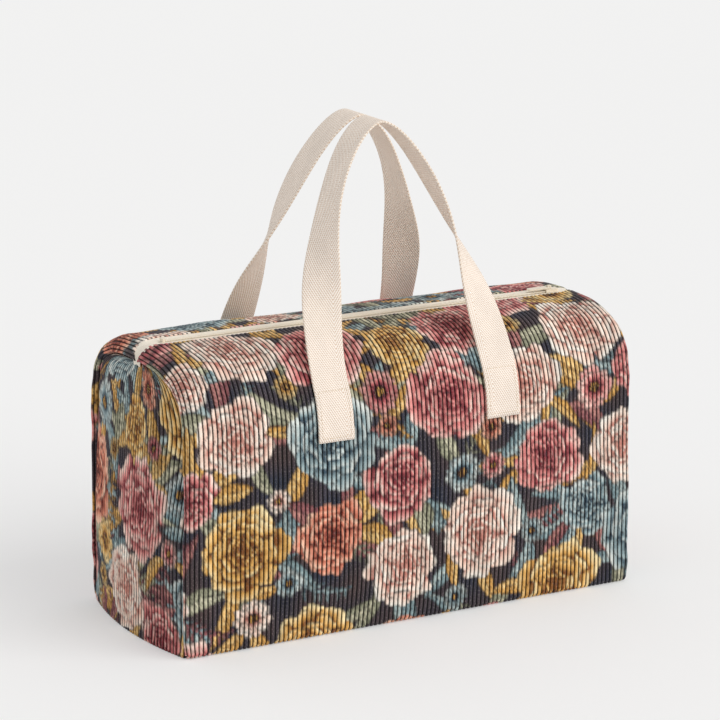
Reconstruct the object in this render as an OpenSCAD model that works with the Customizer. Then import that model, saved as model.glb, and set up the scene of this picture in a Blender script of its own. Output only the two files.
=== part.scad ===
// Corduroy holdall: a soft box bag with rolled shoulders, a zip along the top and two webbing handles.
// Millimetres. Origin at the middle of the base, +X along the length, front face towards -Y, +Z up.

/* [Body] */
// Length of the bag between its corner seams
body_l = 504; // [420:2:560]
// Depth of the bag between its front and back faces at the corners
body_d = 218; // [190:2:240]
// Height of the fabric beside the zip
body_h = 288; // [260:2:320]
// Thickness of the padded panels, from the rib crests to the inside
wall = 3.6; // [2.8:0.2:5]
// Reach of the shoulder roll from the front face towards the zip
shoulder_d = 45; // [34:1:56]
// Reach of the shoulder roll down the front face
shoulder_h = 68; // [50:1:80]
// Fall of the domed top from the zip to the shoulder roll
dome_drop = 9; // [4:1:14]
// Radius of the turn under the front and back faces
foot_r = 9; // [7:0.5:16]
// Swell of the front and back faces at their middle
face_swell = 10; // [2:1:16]
// Swell of each end panel at the base
end_swell = 13; // [4:1:20]
// Distance of the end panels inside the corner seams
end_recess = 3; // [2:0.5:5]
// Sinking of the end panels beside the shoulder rolls
end_dip = 12; // [0:1:16]
// Rounding of the top edges where they fall to the end seams
top_round = 15; // [10:1:24]
// Rounding of the upright and lower edges at the end seams
corner_round = 5; // [4:0.5:9]
// Gap between pieces that are sewn or laid together
seam_gap = 0.3; // [0.2:0.05:0.4]

/* [Corduroy] */
// Spacing of the ribs along the front
rib_pitch = 4.8; // [4.4:0.05:7]
// Spacing of the ribs across the ends, at their widest
end_rib_pitch = 4.9; // [4.6:0.05:7]
// Depth of the valleys between ribs
rib_relief = 1.2; // [0.6:0.1:1.6]

/* [Base] */
// Thickness of the base panel
base_t = 4; // [3:0.2:5]
// Thickness of the stiffener laid inside on the base
board_t = 2; // [1.5:0.25:3]
// Room between the stiffener and the foot of the panels
board_margin = 8; // [5:1:14]
// Corner radius of the stiffener
board_corner_r = 20; // [8:1:30]

/* [Handles] */
// Width of the webbing
webbing_w = 38; // [30:1:44]
// Thickness of the webbing
webbing_t = 2.4; // [1.8:0.1:3.2]
// Distance between the middles of a handle's two legs
leg_spacing = 186; // [160:2:220]
// Length of the lower end of each leg that is sewn to the bag
sewn_l = 52; // [40:1:64]
// Angle on the shoulder roll at which the legs leave the bag
lift_angle = 35; // [24:1:42]
// Rise of the handles above the top of the bag
handle_rise = 200; // [140:2:230]
// Gap between the two handles at their tops
handle_gap = 4; // [2:1:24]

/* [Zip] */
// Width of the zip between the panel edges
zip_w = 26; // [22:1:32]
// Thickness of the panel edges at the zip, where the seam presses them flat
zip_edge_t = 1.4; // [1.2:0.1:2.8]
// Overlap of the tape under the panel edges
tape_lap = 4; // [3:0.5:8]
// Thickness of the tape
tape_t = 0.9; // [0.6:0.1:1.2]
// Width of each half of the closed coil
coil_w = 2.8; // [2.2:0.1:3.4]
// Height of the coil
coil_h = 2.2; // [1.8:0.1:2.8]
// Width of the groove between the two halves of the coil
coil_groove = 1.7; // [1.6:0.1:2]
// Length of the slider
slider_l = 12; // [9:0.5:14]
// Thickness of the slider's plates and flanges
slider_t = 1.2; // [0.9:0.1:1.5]
// Running gap between the slider and the coil or tape
slider_gap = 0.3; // [0.25:0.05:0.4]
// Distance of the parked slider's middle from the corner seam
slider_inset = 34; // [30:1:50]
// Length of the puller from its crossbar to its tip
puller_l = 26; // [18:1:30]
// Width of the puller
puller_w = 8; // [7:0.5:9]
// Radius of the puller's crossbar
crossbar_r = 0.7; // [0.5:0.05:0.8]

/* [Hidden] */

cloth_colour = "#3b3c4a";
webbing_colour = "#e6dac6";
zip_colour = "#e9dfcf";
board_colour = "#4a4a4a";
painted_colour = "#d8ccb8";

half_l = body_l / 2;
half_d = body_d / 2;
zip_half = zip_w / 2;
shoulder_y = half_d - shoulder_d;
shoulder_z = body_h - dome_drop - shoulder_h;
foot_y = half_d - foot_r;
face_mid_z = (shoulder_z + foot_r) / 2;

// Angles at which the shoulder roll and the foot turn are divided
roll_angles = [90, 52, 22, 0];
foot_angles = [0, 45, 90];

// One row of the front section: y, z, outward normal y and z, rounding at the end seams, thickness
function roll_row(a, edge) = let(
        n = [-cos(a) / shoulder_d, sin(a) / shoulder_h],
        m = n / norm(n))
    [-shoulder_y - shoulder_d * cos(a), shoulder_z + shoulder_h * sin(a), m[0], m[1], edge, wall];
function foot_row(a) =
    [-foot_y - foot_r * cos(a), foot_r - foot_r * sin(a), -cos(a), -sin(a), corner_round, wall];
function roll_edge(a) = corner_round + (top_round - corner_round) * sin(a);

// Rows of the front section, from the zip edge over the shoulder and down to the underside
section = concat(
    [[-zip_half, body_h, 0, 1, top_round, zip_edge_t]],
    [for (a = roll_angles) roll_row(a, roll_edge(a))],
    [[-half_d, face_mid_z, -1, 0, corner_round, wall]],
    [for (a = foot_angles) foot_row(a)]);
row_count = len(section);

// Swell of the front face at a point, largest at mid length and mid height
function swell(x, z) = face_swell * (1 - pow(x / half_l, 2)) * 4 * (z / body_h) * (1 - z / body_h);

// How far a rounded edge of radius r has fallen in at distance x along the bag
edge_limit = 0.9;
function edge_fall(x, r) = let(q = min(edge_limit, max(0, (abs(x) - half_l + r) / r)))
    r * (1 - sqrt(1 - q * q));

// A point of the front panel on a section row, at a share of its thickness below the rib crests
function panel_point(row, x, share) = let(k = edge_fall(x, row[4]) + share * row[5])
    [x, row[0] - swell(x, row[1]) - row[2] * k, row[1] - row[3] * k];

// Index of the inner column nearest to a place across the sheet, with places given from 0 to 1
function nearest(p, places) = len([for (j = [1:len(places) - 1])
    if ((places[j - 1] + places[j]) / 2 <= p) j]);

// Faces of one edge of a sheet: a triangle for each rib, then a strip from the valleys to the inner edge
function edge_faces(o, i, ribs, places) = let(
        m = concat([0], [for (k = [0:ribs - 1]) nearest((k + 0.5) / ribs, places)], [len(places) - 1]))
    concat(
        [for (k = [0:ribs - 1]) [o(2 * k + 2), o(2 * k + 1), o(2 * k)]],
        [for (k = [0:ribs - 1]) [o(2 * k + 2), o(2 * k), i(m[k + 1])]],
        [for (k = [0:ribs], j = [m[k]:1:m[k + 1] - 1]) [i(j), i(j + 1), o(2 * k)]]);

// Faces of a closed sheet between a ribbed outer grid and a coarser inner grid that share their rows.
// Columns run from left to right and rows from top to bottom, as seen from outside.
function sheet_faces(rows, ribs, places) = let(
        outer = 2 * ribs + 1,
        inner = len(places),
        o = function(r, c) r * outer + c,
        i = function(r, c) rows * outer + r * inner + c,
        last = rows - 1)
    concat(
        [for (r = [0:rows - 2], c = [0:outer - 2], f = [
            [o(r, c), o(r, c + 1), o(r + 1, c + 1)],
            [o(r, c), o(r + 1, c + 1), o(r + 1, c)]]) f],
        [for (r = [0:rows - 2], c = [0:inner - 2], f = [
            [i(r, c), i(r + 1, c), i(r + 1, c + 1)],
            [i(r, c), i(r + 1, c + 1), i(r, c + 1)]]) f],
        [for (r = [0:rows - 2], f = [
            [i(r, 0), o(r, 0), o(r + 1, 0)],
            [i(r, 0), o(r + 1, 0), i(r + 1, 0)],
            [o(r, outer - 1), i(r, inner - 1), i(r + 1, inner - 1)],
            [o(r, outer - 1), i(r + 1, inner - 1), o(r + 1, outer - 1)]]) f],
        edge_faces(function(c) o(0, c), function(c) i(0, c), ribs, places),
        [for (f = edge_faces(function(c) o(last, c), function(c) i(last, c), ribs, places))
            [f[2], f[1], f[0]]]);

// Front panel: two columns for each rib, valley then crest, and plain columns inside
panel_ribs = round(body_l / rib_pitch);
panel_cols = 2 * panel_ribs + 1;
end_x = half_l - end_recess;
inner_shares = [0.6, 0.25];
inner_edge = concat([half_l, end_x, end_x - wall, end_x - wall - top_round / 2], half_l * inner_shares);
inner_xs = concat([for (x = inner_edge) -x], [for (k = [len(inner_edge) - 1:-1:0]) inner_edge[k]]);
function valley(c) = c % 2 == 0 ? rib_relief : 0;

module ribbed_panel() {
    outer = [for (row = section, c = [0:panel_cols - 1])
        panel_point(row, -half_l + body_l * c / (panel_cols - 1), valley(c) / wall)];
    inner = [for (row = section, x = inner_xs) panel_point(row, x, 1)];
    places = [for (x = inner_xs) (x + half_l) / body_l];
    polyhedron(concat(outer, inner), sheet_faces(row_count, panel_ribs, places));
}

module front_panel() {
    color(cloth_colour) ribbed_panel();
}

module back_panel() {
    color(cloth_colour) mirror([0, 1, 0]) ribbed_panel();
}

// End panel: fills the section inside the front and back panels, its ribs fanning in to the zip.
// Its border sinks in beside the shoulder rolls and follows the panels' inside, which is straight
// between the inner columns. A row is its half width, height and sinking.
end_ribs = round(body_d / end_rib_pitch);
end_cols = 2 * end_ribs + 1;
end_inner_cols = 7;
dip_start = 0.5;
dip_skew = 1.6;
function row_dip(z) = let(share = max(0, min(1, (z - face_mid_z) / (body_h - face_mid_z))))
    end_dip * sin(180 * pow(share, dip_skew));
function inside_fall(x, r) = lookup(x, [for (e = inner_edge) [e, edge_fall(e, r)]]);
function inside_swell(x, z) = lookup(x, [for (e = inner_edge) [e, swell(e, z)]]);
function end_row(row) = let(
        dip = row_dip(row[1]),
        k = inside_fall(end_x - dip, row[4]) + row[5] + seam_gap)
    [-row[0] + inside_swell(end_x - dip, row[1]) + row[2] * k, row[1] - row[3] * k, dip];
low_row = end_row(section[row_count - 1]);
end_rows = concat(
    [for (k = [0:row_count - 2]) end_row(section[k])],
    [[low_row[0], max(base_t + seam_gap, low_row[1]), low_row[2]]]);
function end_bow(u, z) = end_swell * (1 - u * u) * (1 - pow(z / end_rows[0][1], 2));
function end_point(row, u, depth) = let(dip = row[2] * smooth((abs(u) - dip_start) / (1 - dip_start)))
    [-end_x - end_bow(u, row[1]) + dip + depth, -u * row[0], row[1]];

end_widest = max([for (row = end_rows) row[0]]);

// Ribs grow finer as they converge, so their valleys grow shallower with them
module ribbed_end() {
    outer = [for (row = end_rows, c = [0:end_cols - 1])
        end_point(row, 2 * c / (end_cols - 1) - 1, valley(c) * row[0] / end_widest)];
    places = [for (c = [0:end_inner_cols - 1]) c / (end_inner_cols - 1)];
    inner = [for (row = end_rows, place = places) end_point(row, 2 * place - 1, wall)];
    polyhedron(concat(outer, inner), sheet_faces(row_count, end_ribs, places));
}

module left_end_panel() {
    color(cloth_colour) ribbed_end();
}

module right_end_panel() {
    color(cloth_colour) mirror([1, 0, 0]) ribbed_end();
}

// Base panel between the feet of the front and back panels, with bowed ends under the end panels
base_half_d = foot_y - seam_gap;
bow_steps = 12;
function base_end(t) = [end_x + end_bow(t, 0), t * base_half_d];

module base_panel() {
    right = [for (k = [0:bow_steps]) base_end(2 * k / bow_steps - 1)];
    left = [for (p = right) -p];
    color(cloth_colour) linear_extrude(base_t) polygon(concat(right, left));
}

module base_board() {
    board_x = end_x - wall - board_margin - board_corner_r;
    board_y = base_half_d - board_margin - board_corner_r;
    color(board_colour) translate([0, 0, base_t]) linear_extrude(board_t) union() {
        square([2 * (board_x + board_corner_r), 2 * board_y], center = true);
        square([2 * board_x, 2 * (board_y + board_corner_r)], center = true);
        for (sx = [-1, 1], sy = [-1, 1])
            translate([sx * board_x, sy * board_y]) circle(board_corner_r, $fn = 48);
    }
}

// Handles: flat webbing that lies on the front, then rises and turns a quarter to arch over the hand
leg_x = leg_spacing / 2;
lift_z = shoulder_z + shoulder_h * sin(lift_angle);
sewn_steps = 4;
handle_top_y = (webbing_w + handle_gap) / 2;
arch_power = 1.68;
arch_steps = 22;
lean_share = 1.36;
turn_end = 0.82;

// Depth of the front face's surface, and its slope along the bag
function face_y(x, z) = let(s = max(0, min(1, (z - shoulder_z) / shoulder_h)))
    -shoulder_y - shoulder_d * sqrt(1 - s * s) - swell(x, z);
slope_step = 0.5;
function face_slope(x, z) = (face_y(x + slope_step, z) - face_y(x - slope_step, z)) / (2 * slope_step);
function face_normal(x, z) = let(n = [face_slope(x, z), -1, 0]) n / norm(n);
function webbing_y(x, z) = face_y(x, z) - seam_gap - webbing_t / 2;

// A point on the arch: t runs from 0 at the left leg to 180 at the right leg
arch_top = body_h + handle_rise - webbing_t / 2;
lift_y = webbing_y(leg_x, lift_z);
function arch_point(t) = let(
        h = pow(sin(t), 2 / arch_power),
        side = -sign(cos(t)) * pow(abs(cos(t)), 2 / arch_power),
        lean = lean_share * h + (1 - lean_share) * h * h)
    [leg_x * side, lift_y - (handle_top_y + lift_y) * lean, lift_z + (arch_top - lift_z) * h];

function smooth(v) = let(c = max(0, min(1, v))) c * c * (3 - 2 * c);
function unit(v) = v / norm(v);

// Four corners of the webbing at a point with its direction and its outward normal
function webbing_corners(p, dir, n0) = let(
        n = unit(n0 - dir * (dir * n0)),
        b = cross(dir, n))
    [for (s = [[-1, -1], [1, -1], [1, 1], [-1, 1]])
        p + b * s[0] * webbing_w / 2 + n * s[1] * webbing_t / 2];

function arch_corners(k) = let(
        t = 180 * k / arch_steps,
        dt = 180 / arch_steps / 4,
        p = arch_point(t),
        dir = unit(arch_point(min(180, t + dt)) - arch_point(max(0, t - dt))),
        share = (p[2] - lift_z) / (arch_top - lift_z),
        w = smooth(share / turn_end))
    webbing_corners(p, dir, (1 - w) * face_normal(p[0], lift_z) + w * unit([-dir[2], 0, dir[0]]));
function sewn_corners(x, z, up) = webbing_corners(
    [x, webbing_y(x, z), z], [0, 0, up], face_normal(x, z));

// Two triangles of side j of the webbing, from ring a to the next. The two broad sides share a diagonal,
// so that the webbing keeps its thickness where it turns.
function webbing_faces(a, j) = let(b = a + 4, k = (j + 1) % 4)
    j < 2 ? [[a + j, a + k, b + k], [a + j, b + k, b + j]] : [[a + j, a + k, b + j], [a + k, b + k, b + j]];

module webbing_loop() {
    sewn_zs = [for (k = [0:sewn_steps - 1]) lift_z - sewn_l * (1 - k / sewn_steps)];
    rings = concat(
        [for (z = sewn_zs) sewn_corners(-leg_x, z, 1)],
        [for (k = [0:arch_steps]) arch_corners(k)],
        [for (k = [sewn_steps - 1:-1:0]) sewn_corners(leg_x, sewn_zs[k], -1)]);
    n = len(rings);
    polyhedron([for (ring = rings, p = ring) p], concat(
        [[3, 2, 1], [3, 1, 0]],
        [for (k = [0:n - 2], j = [0:3], f = webbing_faces(4 * k, j)) f],
        [[4 * n - 4, 4 * n - 3, 4 * n - 2], [4 * n - 4, 4 * n - 2, 4 * n - 1]]));
}

module front_handle() {
    color(webbing_colour) webbing_loop();
}

module back_handle() {
    color(webbing_colour) mirror([0, 1, 0]) webbing_loop();
}

// Zip: tapes lapped under the panel edges, bending down at both ends to the end panels
lap_fall = (dome_drop + wall - zip_edge_t) * tape_lap / (shoulder_y - zip_half);
tape_z = body_h - zip_edge_t - lap_fall - seam_gap;
function tape_line(x) = [x, tape_z - edge_fall(x, top_round)];
tape_xs = [inner_edge[3], inner_edge[2]];
tape_profile = [tape_line(-tape_xs[1]), tape_line(-tape_xs[0]), tape_line(tape_xs[0]), tape_line(tape_xs[1])];

module zip_tape() {
    lower = [for (k = [len(tape_profile) - 1:-1:0]) tape_profile[k] - [0, tape_t]];
    translate([0, -coil_groove / 2, 0]) rotate([90, 0, 0])
        linear_extrude(zip_half + tape_lap - coil_groove / 2)
        polygon(concat(tape_profile, lower));
}

module zip_tape_front() {
    color(zip_colour) zip_tape();
}

module zip_tape_back() {
    color(zip_colour) mirror([0, 1, 0]) zip_tape();
}

// Coil halves lie on the straight stretch of the tapes, with a domed top
slider_x = half_l - slider_inset;
stop_l = 3;
stop_x = slider_x + slider_l / 2 + slider_gap;
coil_left = -half_l + slider_inset;
coil_dome = 0.8;

module zip_coil() {
    translate([coil_left, 0, tape_z]) rotate([90, 0, 90]) linear_extrude(stop_x - coil_left)
        polygon([
            [-coil_groove / 2, 0], [-coil_groove / 2 - coil_w, 0],
            [-coil_groove / 2 - coil_w, coil_h - coil_dome],
            [-coil_groove / 2 - coil_w + coil_dome, coil_h],
            [-coil_groove / 2, coil_h]]);
}

module zip_coil_front() {
    color(zip_colour) zip_coil();
}

module zip_coil_back() {
    color(zip_colour) mirror([0, 1, 0]) zip_coil();
}

// Stops: a pair that blocks the slider at the closed end, and a clip across both halves at the other
stop_h = coil_h + slider_gap + slider_t;

module zip_top_stops() {
    color(painted_colour) for (side = [-1, 1])
        translate([stop_x, side * (coil_groove + coil_w) / 2 - coil_w / 2, tape_z])
        cube([stop_l, coil_w, stop_h]);
}

module zip_bottom_stop() {
    stop_w = coil_groove + 2 * coil_w;
    color(painted_colour) translate([coil_left - stop_l, -stop_w / 2, tape_z])
        cube([stop_l, stop_w, stop_h]);
}

// Slider: two plates joined by a post that runs in the groove, flanges beside the coil, a bridge on top
slider_half_w = coil_groove / 2 + coil_w + slider_gap + slider_t;
plate_z = tape_z + coil_h + slider_gap;
plate_top = plate_z + slider_t;
under_z = tape_z - tape_t - slider_gap - slider_t;
post_w = coil_groove - 2 * slider_gap;
post_l = 4;
crossbar_z = plate_top + slider_gap + crossbar_r;
bridge_room = crossbar_r + slider_gap;
bridge_t = 1.1;
bridge_w = 2.6;
bridge_top = crossbar_z + bridge_room + bridge_t;
bridge_half = bridge_room + bridge_t;

module zip_slider() {
    color(painted_colour) translate([slider_x, 0, 0]) difference() {
        union() {
            translate([-slider_l / 2, -slider_half_w, plate_z])
                cube([slider_l, 2 * slider_half_w, slider_t]);
            translate([-slider_l / 2, -slider_half_w, under_z])
                cube([slider_l, 2 * slider_half_w, slider_t]);
            translate([slider_l / 2 - post_l, -post_w / 2, under_z])
                cube([post_l, post_w, plate_top - under_z]);
            for (side = [-1, 1])
                translate([-slider_l / 2, side * (slider_half_w - slider_t / 2) - slider_t / 2,
                        tape_z + slider_gap])
                    cube([slider_l, slider_t, plate_top - tape_z - slider_gap]);
            translate([-bridge_half, -bridge_w / 2, plate_z])
                cube([2 * bridge_half, bridge_w, bridge_top - plate_z]);
        }
        translate([0, bridge_w, crossbar_z]) rotate([90, 0, 0])
            cylinder(h = 2 * bridge_w, r = bridge_room, $fn = 48);
    }
}

// Puller: a crossbar under the bridge, two arms and a rounded tab, lying on the closed coil
arm_t = 2 * crossbar_r;
arm_w = (puller_w - bridge_w) / 2 - slider_gap;
arm_l = bridge_half + slider_gap + crossbar_r;

module zip_puller() {
    color(painted_colour) translate([slider_x, 0, crossbar_z]) mirror([1, 0, 0]) union() {
        rotate([90, 0, 0]) cylinder(h = puller_w, r = crossbar_r, center = true, $fn = 48);
        for (side = [-1, 1])
            translate([0, side * (puller_w - arm_w) / 2 - arm_w / 2, -arm_t / 2])
                cube([arm_l + arm_w, arm_w, arm_t]);
        translate([0, 0, -arm_t / 2]) linear_extrude(arm_t) union() {
            translate([arm_l, -puller_w / 2]) square([puller_l - arm_l - puller_w / 2, puller_w]);
            translate([puller_l - puller_w / 2, 0]) circle(d = puller_w, $fn = 48);
        }
    }
}

front_panel();
back_panel();
left_end_panel();
right_end_panel();
base_panel();
base_board();
front_handle();
back_handle();
zip_tape_front();
zip_tape_back();
zip_coil_front();
zip_coil_back();
zip_top_stops();
zip_bottom_stop();
zip_slider();
zip_puller();
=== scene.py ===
"""Corduroy holdall: the cloth shell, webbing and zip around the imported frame."""

import math

import bpy
import numpy as np
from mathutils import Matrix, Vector


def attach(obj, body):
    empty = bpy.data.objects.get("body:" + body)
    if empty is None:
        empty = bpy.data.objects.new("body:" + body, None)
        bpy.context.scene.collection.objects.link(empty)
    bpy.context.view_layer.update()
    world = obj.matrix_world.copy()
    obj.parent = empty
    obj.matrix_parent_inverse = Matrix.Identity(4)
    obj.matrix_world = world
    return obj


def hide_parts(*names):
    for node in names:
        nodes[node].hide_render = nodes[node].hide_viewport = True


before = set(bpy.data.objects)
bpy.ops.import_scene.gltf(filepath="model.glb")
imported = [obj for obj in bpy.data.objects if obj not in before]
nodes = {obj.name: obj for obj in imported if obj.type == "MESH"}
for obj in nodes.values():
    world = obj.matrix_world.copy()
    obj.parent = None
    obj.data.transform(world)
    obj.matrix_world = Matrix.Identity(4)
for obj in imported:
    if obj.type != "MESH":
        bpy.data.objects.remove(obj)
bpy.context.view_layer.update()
scene = bpy.context.scene

MM = 0.001

# Sizes of the source, in mm
HALF_L = 252.0
HALF_D = 109.0
BODY_H = 288.0
SHOULDER_D = 45.0
SHOULDER_H = 68.0
SHOULDER_Y = HALF_D - SHOULDER_D
SHOULDER_Z = BODY_H - 9.0 - SHOULDER_H
FOOT_R = 6.0
FACE_SWELL = 10.0
END_SWELL = 13.0
END_X = HALF_L - 3.0
TOP_ROUND = 22.0
CORNER_ROUND = 5.0
ZIP_HALF = 13.0
TAPE_LAP = 4.0
TAPE_T = 0.9
TAPE_Z = 285.42157
SEAM_GAP = 0.3
COIL_W = 2.8
COIL_H = 2.2
COIL_GROOVE = 1.7
SLIDER_X = HALF_L - 34.0
COIL_LEFT = -SLIDER_X
COIL_RIGHT = SLIDER_X + 6.3
WEBBING_W = 38.0
WEBBING_T = 2.4
LEG_X = 93.0
LIFT_Z = SHOULDER_Z + SHOULDER_H * math.sin(math.radians(35))
SEWN_LOW_Z = LIFT_Z - 52.0
ARCH_TOP = BODY_H + 200.0 - WEBBING_T / 2
HANDLE_TOP_Y = 21.0

# Corduroy: rib spacing and depth, and where a rib's columns lie between two valleys, with their heights
RIB_PITCH = 4.8
RIB_DEPTH = 1.35
RIB_PLACES = np.array([0.0, 0.16, 0.36, 0.64, 0.84])
RIB_HEIGHTS = np.array([0.0, 0.5, 1.0, 1.0, 0.5])
FRONT_RIBS = 117
END_RIBS = 40
CLOTH_T = 2.6
ROLL_DEPTH = 17.0
TUCK_IN = 0.95
TUCK_DOWN = 0.2
DRAWN_IN = 0.992
DRAWN_SLOPE = 0.007
OFF_GROUND = 0.05


def smooth(v):
    """Smooth step from 0 to 1."""
    c = np.clip(v, 0, 1)
    return c * c * (3 - 2 * c)


def unit(v):
    return v / np.linalg.norm(v, axis=-1, keepdims=True)


def run_length(line):
    """Length along a line of points, at each of them."""
    return np.concatenate([[0], np.cumsum(np.linalg.norm(np.diff(line, axis=0), axis=1))])


def tone(r, g, b):
    """Linear colour of a paint given in screen values from 0 to 255."""
    v = np.array([r, g, b], float) / 255
    return np.where(v <= 0.04045, v / 12.92, ((v + 0.055) / 1.055) ** 2.4)


def waves(s, t, scale, seed, count=7):
    """Smooth noise of about -1 to 1 with features of about the given size."""
    rng = np.random.default_rng(seed)
    total = np.zeros(np.broadcast(s, t).shape)
    for _ in range(count):
        a = rng.uniform(0, 2 * np.pi)
        k = 2 * np.pi / (scale * rng.uniform(0.7, 1.6))
        total += np.sin((s * np.cos(a) + t * np.sin(a)) * k + rng.uniform(0, 2 * np.pi))
    return total / count**0.5 / 1.4


# Print: a generic floral, painted in fields and simple shapes

BLOOM_TONES = {
    "rose": [tone(132, 52, 60), tone(222, 136, 132), tone(255, 228, 214)],
    "wine": [tone(98, 36, 48), tone(188, 98, 100), tone(246, 190, 178)],
    "blush": [tone(198, 130, 116), tone(248, 216, 198), tone(255, 249, 238)],
    "ochre": [tone(134, 82, 40), tone(228, 176, 96), tone(255, 234, 182)],
    "slate": [tone(58, 78, 92), tone(154, 176, 180), tone(234, 238, 232)],
    "rust": [tone(122, 50, 40), tone(220, 134, 108), tone(255, 210, 182)],
}
LEAF_TONES = [
    [tone(50, 68, 82), tone(140, 164, 168), tone(208, 218, 212)],
    [tone(110, 72, 40), tone(222, 170, 92), tone(254, 224, 162)],
    [tone(74, 44, 54), tone(150, 92, 94), tone(214, 156, 144)],
    [tone(62, 64, 58), tone(164, 164, 138), tone(230, 224, 196)],
]
LEAF_SHARES = [0.34, 0.36, 0.14, 0.16]
GROUND_TONES = [tone(52, 56, 70), tone(80, 66, 67)]
LINE_TONE = tone(26, 20, 28)
DISC_TONES = [tone(70, 44, 32), tone(218, 168, 86)]
FULL_KINDS = ["rose", "blush", "rose", "slate", "blush", "ochre", "rose", "wine", "blush", "rust"]
OPEN_KINDS = ["ochre", "slate", "rust", "blush", "ochre", "rose", "wine", "slate"]

# Rings of a full bloom: reach and number of petals
BLOOM_RINGS = [(1.0, 8), (0.80, 7), (0.62, 6), (0.46, 5), (0.31, 4), (0.18, 3)]

# Blooms thrown on the cloth: least and greatest radius, throws per 0.2 square metres, closeness, kind
THROWS = [
    (40, 52, 420, 0.93, "full"),
    (29, 37, 500, 0.93, "full"),
    (20, 28, 500, 0.95, "open"),
    (12, 16, 400, 1.0, "open"),
]
THROW_AREA = 2.0e5


def mix_tones(tones, light):
    """Colour from the dark tone at 0 over the middle one to the light one at 1."""
    light = np.clip(light, 0, 1)[:, None]
    low = np.clip(light * 2, 0, 1)
    high = np.clip(light * 2 - 1, 0, 1)
    return tones[0] * (1 - low) + tones[1] * low * (1 - high) + tones[2] * high


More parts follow.
